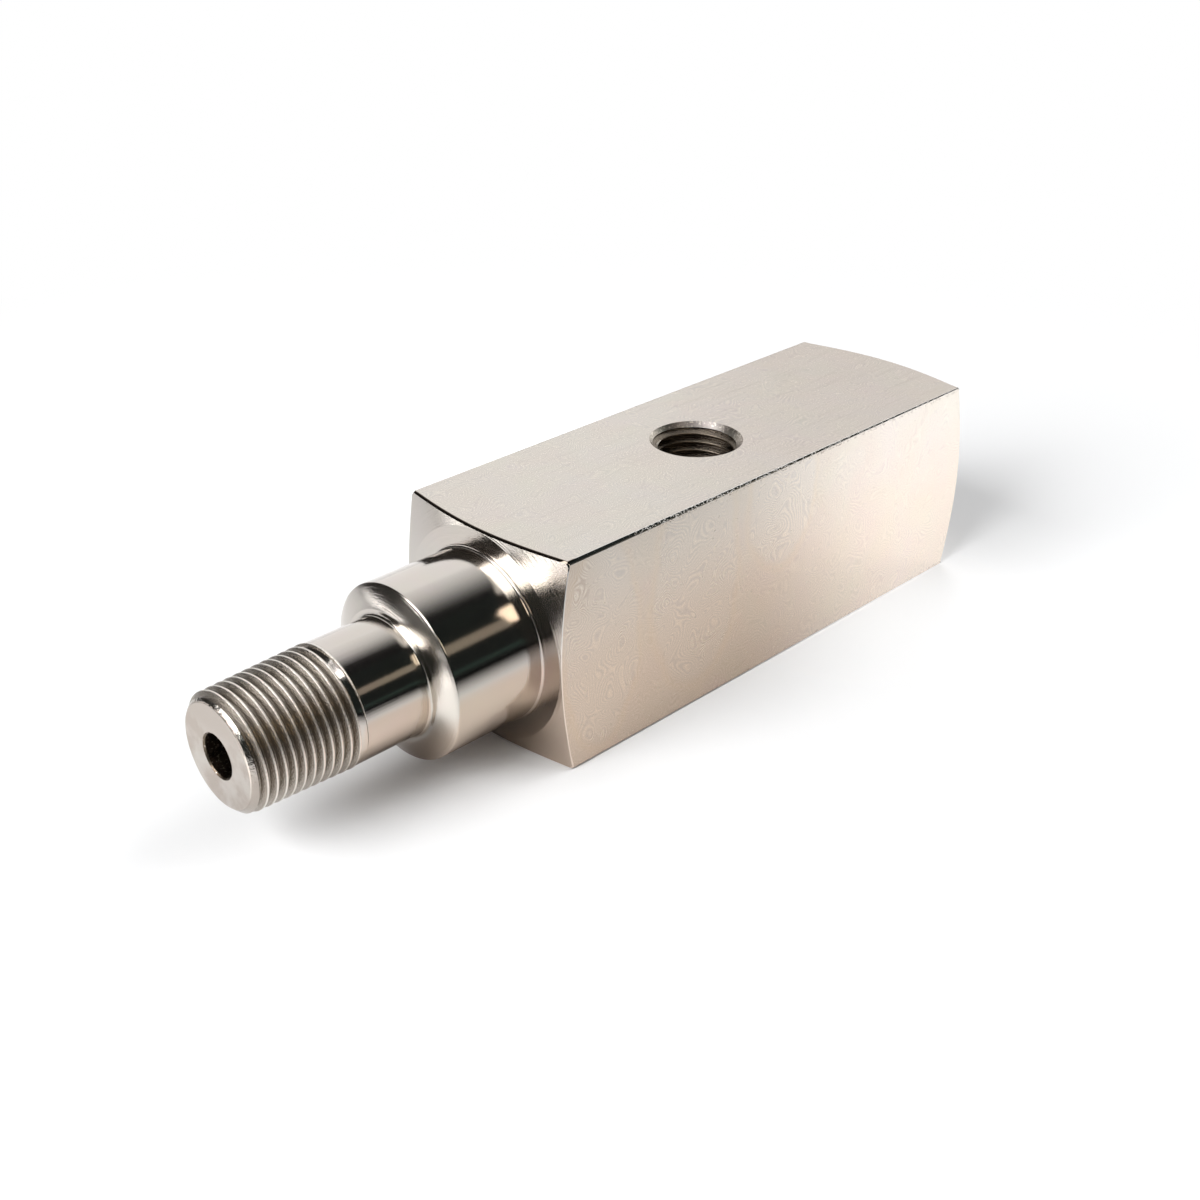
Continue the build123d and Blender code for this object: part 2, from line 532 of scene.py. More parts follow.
drill_and_tap(
    "line",
    rear_x,
    line_bottom_x,
    (7.475 * mm, 8.9 * mm),
    (thread_gauge_radius, line_bottom_x + 1.5 * mm, 13),
    [
        (line_bottom_x + 2.5 * mm, 7.4 * mm),
        (line_bottom_x + 4.0 * mm, line_tap_radius),
        (rear_x + 2.5 * mm, line_tap_radius),
    ],
)
bore_stations = [
    (-0.5 * mm, bore_radius + bore_chamfer + 0.5 * mm),
    (bore_chamfer, bore_radius),
    (line_bottom_x - 1.5 * mm, bore_radius),
]
combine(block, turn("bore", bore_stations, "drilled", 64), "DIFFERENCE")

# %% [markdown]
# ## The gauge port in the top flat
# The gauge screws into the top. This port is drilled, countersunk and tapped like the line port, and a
# narrow passage joins it to the bore. Its tools are stood up over the port's centre.

# %% Gauge port
gauge_bottom_z = half_side - 12.0 * mm
gauge_tap_radius = 6.75 * mm
passage_radius = 2.5 * mm
upright = Matrix.Translation((gauge_port_x, 0, 0)) @ Matrix.Rotation(-pi / 2, 4, "Y")

drill_and_tap(
    "gauge",
    half_side,
    gauge_bottom_z,
    (5.7225 * mm, 7.05 * mm),
    (6.5785 * mm, gauge_bottom_z + 0.5 * mm, 9),
    [
        (gauge_bottom_z + 1.5 * mm, 5.65 * mm),
        (gauge_bottom_z + 2.8 * mm, gauge_tap_radius),
        (half_side + 1.5 * mm, gauge_tap_radius),
    ],
    upright,
    96,
)
passage_stations = [(0, passage_radius), (gauge_bottom_z + 0.5 * mm, passage_radius)]
passage = turn("passage", passage_stations, "drilled", 48)
passage.data.transform(upright)
combine(block, passage, "DIFFERENCE")

# %% [markdown]
# ## Smooth faces and crisp edges
# The mesh is many small facets that have to read as true cylinders, cones and flats. Smooth shading
# blends neighbours that meet at a small angle. Three kinds of edge must stay crisp whatever their angle:
# the rim of every thread and hole, the outer rim of an end's cone, and the crease between its flat ring
# and the cone. They are marked sharp, and a Weighted Normal modifier then lets each large face keep its
# own direction.

# %% Shading
smooth_limit = radians(40)
cut_finishes = {finish_names.index("threaded"), finish_names.index("drilled")}
rim_finishes = {finish_names.index("faced"), polished}


def stays_crisp(edge):
    """Whether an edge is the rim of a cut surface or of an end's cone, or the crease in an end."""
    if len(edge.link_faces) != 2:
        return False
    one, other = (face.material_index for face in edge.link_faces)
    if one != other and cut_finishes & {one, other}:
        return True
    beyond_ring = all(hypot(*corner.co.yz) > end_ring_radius for corner in edge.verts)
    if {one, other} == rim_finishes and beyond_ring:
        return True
    return on_ring(edge, front_x, end_ring_radius) or on_ring(edge, rear_x, end_ring_radius)


enter(block)
crisp_edges = pick_edges(block, stays_crisp)
bpy.ops.mesh.mark_sharp()
leave()
choose(block)
bpy.ops.object.shade_smooth_by_angle(angle=smooth_limit, keep_sharp_edges=True)
even = block.modifiers.new("even", "WEIGHTED_NORMAL")
even.mode = "FACE_AREA"
even.weight = 50
even.keep_sharp = True
apply_modifier(block, even)

test = bmesh.new()
test.from_mesh(block.data)
open_edges = sum(not edge.is_manifold for edge in test.edges)
volume = test.calc_volume() / mm**3
test.free()
print("adapter:", len(block.data.polygons), "faces,", crisp_edges, "crisp edges")
print("  ", open_edges, "open edges, volume", round(volume), "cubic mm")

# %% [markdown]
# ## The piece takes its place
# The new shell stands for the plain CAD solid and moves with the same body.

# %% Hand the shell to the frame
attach(block, "root")
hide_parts("adapter_body")
print("shell rides on root and stands for adapter_body")

# %% [markdown]
# ## Building materials from nodes
# Every finish below is a small network of nodes, and most of its nodes are plain sums. So an output of a
# node is wrapped as an Outlet here: arithmetic on it adds a Math node, or a Vector Math node where it
# carries a place or a colour, and a name in brackets gives another output of the same node.

# %% Outlets
class Outlet:
    """An output of a node. Arithmetic on it adds the nodes for the sum."""

    def __init__(self, socket):
        self.socket = socket

    def __getitem__(self, name):
        return Outlet(self.socket.node.outputs[name])

    def __add__(self, other):
        return calculate("ADD", self, other)

    def __sub__(self, other):
        return calculate("SUBTRACT", self, other)

    def __rsub__(self, other):
        return calculate("SUBTRACT", other, self)

    def __mul__(self, other):
        return calculate("MULTIPLY", self, other)

    def __truediv__(self, other):
        return calculate("DIVIDE", self, other)

    def __abs__(self):
        return calculate("ABSOLUTE", self)


def tree_of(*values):
    """The tree that holds the first outlet among some values."""
    return next(value.socket.id_data for value in values if isinstance(value, Outlet))


def plug_in(inlet, value):
    """Link an outlet to an inlet, or set the inlet to a value. Colours are opaque."""
    if isinstance(value, Outlet):
        inlet.id_data.links.new(value.socket, inlet)
    elif inlet.type == "RGBA":
        inlet.default_value = (*value[:3], 1.0)
    else:
        inlet.default_value = value


def add(tree, kind, inlets=None, **settings):
    """Add a node, with its settings and its inlets, and give its first outlet."""
    made = tree.nodes.new(kind)
    for name, value in settings.items():
        setattr(made, name, value)
    for name, value in (inlets or {}).items():
        plug_in(made.inputs[name], value)
    return Outlet(made.outputs[0])


def calculate(operation, *values):
    """Add a Math node, or a Vector Math node where the first outlet is no plain number."""
    first = next(value for value in values if isinstance(value, Outlet))
    kind = "ShaderNodeMath" if first.socket.type == "VALUE" else "ShaderNodeVectorMath"
    return add(tree_of(first), kind, dict(enumerate(values)), operation=operation)


print("arithmetic on outlets is ready")

# %% [markdown]
# ## Steps, windows, mixes and noises
# A few more helpers do nearly all the rest. A ramp tells where a value has passed a level, a window where
# it lies between two levels, a stain moves a colour towards another one, and a noise gives the
# unevenness without which nothing looks real.

# %% Node helpers
def ramp(value, low, high, to_low=0.0, to_high=1.0):
    """A smooth step of a value from one level to another."""
    inlets = {"Value": value, "From Min": low, "From Max": high, "To Min": to_low, "To Max": to_high}
    return add(tree_of(value), "ShaderNodeMapRange", inlets, interpolation_type="SMOOTHSTEP")


def window(value, start, full, full_end, end):
    """A mask that is 1 from full to full_end and falls smoothly to 0 at start and at end."""
    return ramp(value, start, full) * ramp(value, end, full_end)


def mix(share, one, other, **settings):
    """Mix two numbers, or two colours where data_type says RGBA, by a share."""
    inlets = {"Factor": share, "A": one, "B": other}
    return add(tree_of(share, one, other), "ShaderNodeMix", inlets, **settings)["Result"]


def stain(colour, share, other, blend="MIX"):
    """Mix a colour with another one by a share."""
    return mix(share, colour, other, data_type="RGBA", blend_type=blend)


def noise(place, scale, detail, roughness=0.5, distortion=0.0, dimensions="3D"):
    """Add a noise texture that reads a place, and give its level."""
    inlets = {
        "W" if dimensions == "1D" else "Vector": place,
        "Scale": scale,
        "Detail": detail,
        "Roughness": roughness,
        "Distortion": distortion,
    }
    return add(tree_of(place), "ShaderNodeTexNoise", inlets, noise_dimensions=dimensions)["Fac"]


def split(place):
    """The three coordinates of a place."""
    parts = add(tree_of(place), "ShaderNodeSeparateXYZ", {0: place})
    return parts["X"], parts["Y"], parts["Z"]


def lengthen(place, factor):
    """Multiply a place or a colour by a plain number."""
    return add(tree_of(place), "ShaderNodeVectorMath", {0: place, "Scale": factor}, operation="SCALE")


def largest(one, other):
    """The larger of two numbers."""
    return calculate("MAXIMUM", one, other)


print("node helpers are ready")

# %% [markdown]
# ## Node groups
# An effect that several finishes share is a node group. It is built once, with named inputs that each
# finish sets for itself, so that a swirl or a lathe mark is drawn the same way wherever it shows.

# %% Group helpers
origin = (0, 0, 0)


def start_group(name, inputs):
    """A new node group. The first value of an input tells whether it is a number, a place or a colour."""
    group = bpy.data.node_groups.new(name, "ShaderNodeTree")
    for label, value in inputs.items():
        kind = "Float" if isinstance(value, float) else {3: "Vector", 4: "Color"}[len(value)]
        made = group.interface.new_socket(label, in_out="INPUT", socket_type=f"NodeSocket{kind}")
        made.default_value = value
    return group, add(group, "NodeGroupInput")


def end_group(group, **outlets):
    """Give a group its outputs, which are numbers except for Colour, and tell its size."""
    for label in outlets:
        kind = "Color" if label == "Colour" else "Float"
        group.interface.new_socket(label, in_out="OUTPUT", socket_type=f"NodeSocket{kind}")
    result = group.nodes.new("NodeGroupOutput").inputs
    for label, outlet in outlets.items():
        plug_in(result[label], outlet)
    print(f"node group {group.name}:", len(group.nodes), "nodes")


def use_group(name, **values):
    """Place a node group in the tree that its values come from. In names _ stands for a space."""
    inlets = {label.replace("_", " "): value for label, value in values.items()}
    return add(tree_of(*values.values()), "ShaderNodeGroup", inlets, node_tree=bpy.data.node_groups[name])


# %% [markdown]
# ## Marks of the lathe
# A turned or faced surface carries a fine spiral, one groove for each turn of the work. The sum of the
# place along X and the distance from the axis grows along a shaft and across a face, so one noise in
# that sum makes the right rings on both. The angle round the axis breaks the finest rings into dashes.

# %% Node group: lathe marks
dashes_per_radian = 7.0

group, given = start_group("lathe_marks", {"Position": origin, "Rings per mm": 8.0, "Wobble": 0.05})
x, y, z = split(given["Position"])
from_axis = calculate("SQRT", y * y + z * z)
where = x + from_axis + noise(given["Position"], 0.35, 1.0) * given["Wobble"]
bearing = calculate("ARCTAN2", y, z)
rings = {"X": where * given["Rings per mm"], "Y": bearing * dashes_per_radian}
dashes = add(group, "ShaderNodeCombineXYZ", rings)
fine = noise(dashes, 1.0, 2.0, 0.6, dimensions="2D")
end_group(group, Marks=fine, Bands=noise(where, 2.0, 2.0, 0.6, dimensions="1D"))

# %% [markdown]
# ## Tints in the plating
# Plated steel is never one colour. Handling, oil and heat leave faint yellow, pink and blue clouds a few
# millimetres wide, and tiny pits hold a darker speck. The clouds come from the three colour channels of
# one soft noise, and the pits from the middle of scattered cells.

# %% Node group: plating tints
mid_grey = (0.5, 0.5, 0.5)

inputs = {"Position": origin, "Colour": (0.6, 0.6, 0.6, 1.0), "Amount": 0.05}
group, given = start_group("plating_tints", inputs)
clouds = noise(given["Position"], 0.11, 3.0, 0.55, distortion=0.6)
tinted = given["Colour"] + lengthen(clouds["Color"] - mid_grey, given["Amount"])
cells = add(group, "ShaderNodeTexVoronoi", {"Vector": given["Position"], "Scale": 1.1, "Randomness": 1.0})
speck = ramp(cells["Distance"], 0.05, 0.11, 1.0, 0.0)
chosen = ramp(add(group, "ShaderNodeSeparateColor", {0: cells["Color"]})["Red"], 0.86, 0.90)
end_group(group, Colour=tinted, Pits=speck * chosen, Clouds=clouds)

# %% [markdown]
# ## Grain in the plating
# Where polished metal mirrors something dark, the plating's own grain shows as fine sparkle. It is a
# small even roughness, about a quarter of a millimetre from hump to hump.

# %% Node group: plating grain
group, given = start_group("plating_grain", {"Position": origin})
end_group(group, Grain=noise(given["Position"], 4.0, 2.0, 0.65))

# %% [markdown]
# ## Polishing swirls
# Close up, the flats are covered in small nested arcs, like a fingerprint, left by the grit that was
# worked over them. The contour lines of a soft noise make just such arcs: the noise is multiplied until
# it passes through many whole numbers, and a sine turns each of them into one line. A second noise
# leaves gaps between the patches.

# %% Node group: polishing swirls
group, given = start_group("polishing_swirls", {"Position": origin, "Size": 0.22, "Lines": 9.0})
hills = noise(given["Position"], given["Size"], 0.0, distortion=0.4)
wave = calculate("SINE", hills * given["Lines"] * (2 * pi))
patches = ramp(noise(given["Position"], 0.7, 1.0), 0.28, 0.52)
end_group(group, Swirls=wave * patches * 0.5 + 0.5)

# %% [markdown]
# ## Hairline scratches
# A few long straight scratches cross each flat in different directions. A noise that is squeezed in two
# directions and stretched in the third has long thin ridges, and only the very tops of them are kept.

# %% Node group: hairline scratches
group, given = start_group("hairline_scratches", {"Position": origin, "Angle": 0.5, "Amount": 0.05})
inlets = {"Vector": given["Position"], "Angle": given["Angle"], "Axis": (0, 0.7, 0.72)}
turned = add(group, "ShaderNodeVectorRotate", inlets)
ridges = noise(turned * (0.10, 3.2, 3.2), 1.0, 1.5)
lowest = 0.74 - given["Amount"]
end_group(group, Scratches=ramp(ridges, lowest, lowest + 0.035))

# %% [markdown]
# ## Wipe marks
# The side that faces the camera has large lobes where it was wiped: U-shaped patches that hang from the
# top edge, with a soft, slightly wavy rim. The group measures how far a point lies from an ellipsoid,
# after a little noise has bent the space, and gives the patch and its rim as two masks.

# %% Node group: wipe marks
group, given = start_group("wipe_marks", {"Position": origin, "Centre": origin, "Reach": (1, 1, 1)})
bend = lengthen(noise(given["Position"], 0.12, 2.0)["Color"] - mid_grey, 4.0)
offset = given["Position"] + bend - given["Centre"]
away = calculate("LENGTH", offset / given["Reach"])["Value"]
patch = ramp(away, 0.86, 1.0, 1.0, 0.0)
end_group(group, Patch=patch, Rim=ramp(abs(away - 0.97), 0.0, 0.12, 1.0, 0.0))

# %% [markdown]
# ## Nicks along the long edges
# The bar's long edges are knocked in a hundred small places. Near an edge the sum of the distances from
# the two middle planes is almost the whole side of the bar, so that sum finds the edges, and a noise
# chooses where the nicks fall. The first centimetre or so of the block is free of them.

# %% Node group: edge nicks
group, given = start_group("edge_nicks", {"Position": origin, "Edge": 31.3})
x, y, z = split(given["Position"])
at_edge = ramp(abs(y) + abs(z) - given["Edge"], -0.05, 0.15)
knocked = ramp(noise(given["Position"], 2.6, 3.0, 0.7), 0.54, 0.62) * ramp(x, 54.0, 60.0)
end_group(group, Nicks=at_edge * knocked)

# %% [markdown]
# ## How a finish is put together
# Nickel is a warm, slightly yellow grey. All five finishes share that metal and differ in how rough it
# is, what marks it carries and whether the highlight is stretched. These helpers start a material with
# the object's own coordinates in millimetres, so that every scale and every place in it can be read in
# mm, and end it with its colour, its roughness and its bumps, one on top of the other.

# %% Starting and ending a finish
nickel = (0.655, 0.610, 0.560)
pit_brown = (0.28, 0.24, 0.20)
quarter_turn = 0.25


def start_tree(owner, output_kind="ShaderNodeOutputMaterial"):
    """Clear the nodes of a material or a world, and give its tree and its output's inlet."""
    owner.use_nodes = True
    tree = owner.node_tree
    tree.nodes.clear()
    return tree, tree.nodes.new(output_kind).inputs["Surface"]


def place_in_mm(tree):
    """The object's own coordinates in millimetres."""
    return lengthen(add(tree, "ShaderNodeTexCoord")["Object"], 1 / mm)


def start_finish(name, tint, metal=nickel, brushed=0.0):
    """Start a finish and give its place, its tints and its shader's inlets."""
    tree, output = start_tree(finishes[name])
    shader = add(tree, "ShaderNodeBsdfPrincipled", {"Metallic": 1.0})
    plug_in(output, shader)
    surface = shader.socket.node.inputs
    if brushed:
        plug_in(surface["Tangent"], add(tree, "ShaderNodeTangent", direction_type="RADIAL", axis="X"))
        plug_in(surface["Anisotropic"], brushed)
        plug_in(surface["Anisotropic Rotation"], quarter_turn)
    position = place_in_mm(tree)
    return position, use_group("plating_tints", Position=position, Colour=metal, Amount=tint), surface


def end_finish(name, surface, colour, roughness, bumps):
    """Link a finish's colour, roughness and bumps, which are heights with their size in mm."""
    tree = finishes[name].node_tree
    plug_in(surface["Base Color"], colour)
    plug_in(surface["Roughness"], roughness)
    below = {}
    for height, size in bumps:
        below = {"Normal": add(tree, "ShaderNodeBump", {"Height": height, "Distance": size * mm, **below})}
    plug_in(surface["Normal"], below["Normal"])
    print(f"finish {name}:", len(tree.nodes), "nodes")


# %% [markdown]
# ## The ground flats
# The four long faces are satin: reflections are soft, with swirls, wipe marks and scratches that show as
# small changes of colour and roughness more than as relief. The side is painted a little warmer than the
# top, a painted reflection of the warmer light it mirrors, and darker near the front corner, a painted
# shade. The top has fine streaks along the bar. The marks' places are measured on the real part, in
# millimetres along X, Y and Z.

# %% Finish: ground flats
swirls_everywhere = 0.6
wipes = (
    ((50.0, -16.0, 2.0), (7.6, 9.0, 17.0)),
    ((68.5, -16.0, 4.0), (9.4, 9.0, 17.5)),
    ((87.0, -16.0, 12.0), (8.0, 9.0, 12.5)),
)

position, tints, surface = start_finish("ground", 0.15)
swirls = use_group("polishing_swirls", Position=position, Size=0.20, Lines=25.0)
nicks = use_group("edge_nicks", Position=position)
grain = use_group("plating_grain", Position=position)
steep = use_group("hairline_scratches", Position=position, Angle=0.45, Amount=0.025)
shallow = use_group("hairline_scratches", Position=position, Angle=-0.9, Amount=0.01)
scratches = largest(steep, shallow)

x, y, z = split(position)
on_side = ramp(y, -15.4, -15.8)
on_top = ramp(z, 15.4, 15.8)
# Painted reflection: the side gets a warmer tone and the top a cooler one, for the light each face mirrors.
colour = stain(tints["Colour"], on_side * 0.5, (0.675, 0.605, 0.530))
colour = stain(colour, on_top * 0.5, (0.640, 0.590, 0.550))
wiped = swirls_everywhere
for centre, reach in wipes:
    wipe = use_group("wipe_marks", Position=position, Centre=centre, Reach=reach)
    patch = wipe["Patch"] * on_side
    colour = stain(colour, patch * 0.7, (0.625, 0.595, 0.565))
    colour = stain(colour, wipe["Rim"] * on_side * 0.4, (0.730, 0.635, 0.510))
    wiped = largest(wiped, patch)
swirl_height = swirls * wiped
# Painted shade: the side is darkened near the front corner.
painted_shade_near_corner = ramp(x, 52.0, 45.0) * ramp(z, 3.0, 12.0) * on_side * 0.6
colour = stain(colour, painted_shade_near_corner, (0.520, 0.415, 0.330))
colour = stain(colour, swirl_height, (0.785, 0.725, 0.640))
colour = stain(colour, ramp(grain, 0.42, 0.62, 0.0, 0.30), (0.530, 0.490, 0.450))
streaks = noise(position * (0.09, 1.3, 1.3), 1.0, 3.0)
streaked = on_top * ramp(streaks, 0.50, 0.75, 0.0, 0.22)
colour = stain(colour, streaked, (0.520, 0.480, 0.440))
roughness = tints["Clouds"] * 0.08 + 0.20 + swirl_height * 0.03 + scratches * 0.05
bumps = ((swirl_height, 0.0013), (scratches, -0.002), (nicks, -0.03))
end_finish("ground", surface, colour, roughness, bumps)

# %% [markdown]
# ## The faced ends
# The rings and cones were cut by a tool that moved out from the axis, so their grooves are circles. Light
# spreads across such grooves, and the highlight becomes a wedge that runs out from the middle, like the one
# on the bottom of a pan. The shader's anisotropy makes that wedge, with its tangent set round X. The tip's
# face has blotchy stains and is painted darker towards the top, a painted shade. The lower half of the
# block's front ring and of the tip's chamfer are painted darker too, a painted shade. The die left the
# chamfer's edge ragged.

# %% Finish: faced ends
position, tints, surface = start_finish("faced", 0.05, brushed=0.45)
marks = use_group("lathe_marks", Position=position, Rings_per_mm=3.6, Wobble=0.05)
grain = use_group("plating_grain", Position=position)
x, y, z = split(position)
colour = stain(tints["Colour"], tints["Pits"] * 0.4, pit_brown)
blotches = ramp(noise(position, 0.28, 3.0, 0.6), 0.35, 0.65, 0.1, 0.9)
# Blotchy stains on the tip's face, and painted shade that darkens it towards the top.
stain_and_painted_shade_at_tip = ramp(x, 0.3, 0.1) * largest(blotches, ramp(z, 1.0, 4.5, 0.0, 0.7))
colour = stain(colour, stain_and_painted_shade_at_tip, (0.500, 0.430, 0.375))
# Painted shade on the lower half of the block's front ring and of the tip's chamfer.
painted_shade_on_ring = window(x, 42.1, 42.2, 42.4, 42.5) * ramp(z, 7.0, 1.0, 0.0, 0.7) * ramp(z, -8.0, -3.0)
painted_shade_on_chamfer = window(x, 0.03, 0.08, 1.3, 1.7) * ramp(z, 3.0, -1.0, 0.0, 0.8)
colour = stain(colour, largest(painted_shade_on_ring, painted_shade_on_chamfer), (0.380, 0.330, 0.290))
roughness = marks["Bands"] * 0.08 + 0.11
ragged = noise(position, 2.2, 2.0, 0.6) * window(x, 0.03, 0.15, 1.7, 2.0)
bumps = ((grain, 0.010), (marks["Marks"], 0.007), (marks["Bands"], 0.010), (ragged, 0.07))
end_finish("faced", surface, colour, roughness, bumps)

# %% [markdown]
# ## The turned shafts
# The collar and the neck are nearly polished. They mirror the studio in long clear bands, and only a faint
# lathe spiral breaks their edges. The block's filed edges have this finish too. They are painted lighter, a
# painted highlight along the edges, except for the front edge of the top flat, which is painted dark, a
# painted dark reflection.

# %% Finish: turned shafts
position, tints, surface = start_finish("turned", 0.06, brushed=0.35)
marks = use_group("lathe_marks", Position=position, Rings_per_mm=5.5, Wobble=0.03)
grain = use_group("plating_grain", Position=position)
nicks = use_group("edge_nicks", Position=position)
x, y, z = split(position)
colour = stain(tints["Colour"], tints["Pits"] * 0.35, pit_brown)
# Painted highlight: the block's filed edges get a lighter colour.
painted_highlight_on_edges = ramp(largest(abs(y), abs(z)), 15.0, 15.4)
colour = stain(colour, painted_highlight_on_edges, (0.900, 0.875, 0.840))
# Painted dark reflection along the front edge of the top flat.
painted_dark_reflection_top_front = ramp(z, 15.3, 15.6) * ramp(x, 46.0, 45.0) * ramp(abs(y), 15.9, 15.6)
colour = stain(colour, painted_dark_reflection_top_front, (0.230, 0.195, 0.160))
roughness = marks["Marks"] * 0.06 + 0.07
bumps = ((grain, 0.0035), (marks["Marks"], 0.0040), (nicks, -0.025))
end_finish("turned", surface, colour, roughness, bumps)

# %% [markdown]
# ## The threads
# The crests are painted lighter than the nickel, a painted highlight, and the flanks and roots are painted
# browner and darker with depth, a painted shade, and are a little duller. The threads inside the ports are
# painted darker still, a painted shade. Small tears along the crests catch the light, and a few on the near
# side have a painted golden glint.

# %% Finish: threads
position, tints, surface = start_finish("threaded", 0.10)
x, y, z = split(position)
from_axis = calculate("SQRT", y * y + z * z)
crest = x * taper + (thread_gauge_radius - gauge_plane_x * taper) / mm
depth = crest - from_axis
outside = ramp(x, 16.8, 17.2, 1.0, 0.0)
inside = 1.0 - outside
flank = largest(ramp(depth, 0.02, 0.10), inside)
root = ramp(depth, 0.4, 0.85) * outside
tears = noise(position, 4.5, 4.0, 0.6)
# Painted golden glint on a few tears on the near side.
on_near_side = window(z, 2.4, 3.6, 5.0, 6.2) * ramp(x, 12.0, 8.0, 0.1, 0.6)
painted_gold_glint = on_near_side * ramp(tears, 0.52, 0.60)
# Painted highlight on the crests, which are lighter than the nickel, and painted shade on the flanks.
colour = stain((0.820, 0.775, 0.720), flank, (0.320, 0.290, 0.255))
colour = stain(colour, 0.3, tints["Colour"], "OVERLAY")
colour = stain(colour, flank * painted_gold_glint, (0.95, 0.76, 0.50))
# Painted shade: darker in the roots, and darker still in the threads inside the ports.
colour = stain(colour, root * 0.55, (0.26, 0.225, 0.19))
colour = stain(colour, inside * 0.8, (0.19, 0.155, 0.12))
colour = stain(colour, tints["Pits"] * 0.4, (0.25, 0.21, 0.17))
roughness = tears * 0.12 + 0.05 + flank * 0.06
end_finish("threaded", surface, colour, roughness, ((tears, 0.09),))

# %% [markdown]
# ## The drilled holes
# The holes are rougher, darker and a little brown, with marks that the drill left round the wall. Bright
# flakes are painted on the gauge port's countersink as painted glints, and its wall below the mouth is
# painted dark, a painted shade.

# %% Finish: drilled holes
position, tints, surface = start_finish("drilled", 0.12, (0.40, 0.36, 0.315))
marks = use_group("lathe_marks", Position=position, Rings_per_mm=4.0, Wobble=0.3)
x, y, z = split(position)
grime = ramp(tints["Clouds"], 0.45, 0.7, 0.0, 0.5)
colour = stain(tints["Colour"], grime, (0.22, 0.17, 0.12))
flakes = noise(position, 2.6, 3.0, 0.65)
# Painted glints: bright flakes on the gauge port's countersink.
painted_glints = ramp(flakes, 0.56, 0.62) * ramp(x, 112.0, 104.0)
colour = stain(colour, painted_glints, (0.78, 0.72, 0.64))
# Painted shade on the gauge port's wall below its mouth.
painted_shade_below_mouth = ramp(z, 14.75, 14.5) * ramp(painted_glints, 1.0, 0.0, 0.4, 0.85)
colour = stain(colour, painted_shade_below_mouth, (0.12, 0.085, 0.055))
roughness = marks["Marks"] * 0.15 + 0.24
end_finish("drilled", surface, colour, roughness, ((flakes, 0.06), (marks["Marks"], 0.008)))

# %% [markdown]
# ## The floor
# The part lies on a white table. The plane is far larger than the picture, so its edge never shows. The
# camera sees the table's own white and the shadow on it, a little painted light beside the bright side, and
# further out the white backdrop, into which the table fades.

# %% Floor as the camera sees it
pure_white = (1.0, 1.0, 1.0, 1.0)
table_white = (0.905, 0.905, 0.91)
table_seen = (0.938, 0.942, 0.948)
floor_z = cad_low.z - 0.02 * mm
studio_centre = Vector(((cad_low.x + cad_high.x) / 2, 0, 0))


def shine(tree, colour, strength):
    """Add an emission shader."""
    return add(tree, "ShaderNodeEmission", {"Color": colour, "Strength": strength})


deselect()
bpy.ops.mesh.primitive_plane_add(size=9.0, location=(studio_centre.x, 0, floor_z))
floor = bpy.context.active_object
floor.name = "white_table"

table = bpy.data.materials.new("table_white")
floor.data.materials.append(table)
tree, table_output = start_tree(table)
position = place_in_mm(tree)
x, y, z = split(position)
distance = calculate("LENGTH", position)["Value"]
matt = add(tree, "ShaderNodeBsdfDiffuse", {"Color": table_seen})
# Painted light on the table beside the bright side.
painted_side_glow = window(x, 5.0, 45.0, 50.0, 80.0) * ramp(y, -46.0, -18.0) * 0.2
lifted = add(tree, "ShaderNodeAddShader", {0: matt, 1: shine(tree, pure_white, painted_side_glow)})
far_away = ramp(distance, 105.0, 240.0)
seen = add(tree, "ShaderNodeMixShader", {0: far_away, 1: lifted, 2: shine(tree, pure_white, 1.0)})
print("floor at z", round(floor_z / mm, 2), "mm")

# %% [markdown]
# ## The floor in the metal
# A shiny part mirrors the table too, so glossy rays get their own painted picture of it. Its level falls
# off with the distance, fastest on the dark side of the studio, and painted shade darkens it in contact
# with the part and under the nose. In front of the block it is painted warmer. The bright panel on the
# right and the softbox on the left lie on its sheen as painted glows.

# %% Floor as the metal mirrors it
half_length = (rear_x - cad_low.x) / 2 / mm
under_nose_place = (-45.75, 2, 0)
lit_margin, lit_radius = 50.0, 165.0
dark_side_reach, lit_side_reach, contact_reach = 85.0, 130.0, 11.5
light_bearing = 45.0

beyond_end = largest(abs(x) - half_length, 0.0)
gap = calculate("SQRT", beyond_end * beyond_end + y * y) - lit_margin
falling = calculate("MINIMUM", calculate("EXPONENT", gap / -dark_side_reach), 1.0)
falling = falling * ramp(x, -110.0, -190.0, 1.0, 0.25)
fading = calculate("MINIMUM", calculate("EXPONENT", (distance - lit_radius) / -lit_side_reach), 1.0)
bearing = calculate("DEGREES", calculate("ARCTAN2", y, x))
from_behind = abs(bearing - light_bearing)
fading = mix(ramp(from_behind, 30.0, 50.0), 1.0, fading)
level = mix(ramp(from_behind, 83.0, 95.0), fading, falling)
# Painted shade in contact with the part and under the nose.
beside = (abs(y) - half_side / mm) / -contact_reach
contact = calculate("EXPONENT", beside) * ramp(x, -45.0, -25.0, 0.0, 0.14)
from_nose = calculate("DISTANCE", position, under_nose_place)["Value"]
level = level * (1.0 - contact) * ramp(from_nose, 5.0, 16.0, 0.60, 1.0)
# Painted warm reflection on the mirrored table in front of the block.
painted_warmth = window(y, -60.0, -32.0, -4.0, 8.0) * ramp(x, -60.0, -45.0)
mirrored_white = stain(table_white, painted_warmth, (0.90, 0.79, 0.715))
sheen = add(tree, "ShaderNodeBsdfPrincipled", {"Base Color": mirrored_white, "Roughness": 0.2})
dark = shine(tree, (0, 0, 0), 0.0)
dimmed = add(tree, "ShaderNodeMixShader", {0: 1.0 - level, 1: sheen, 2: dark})

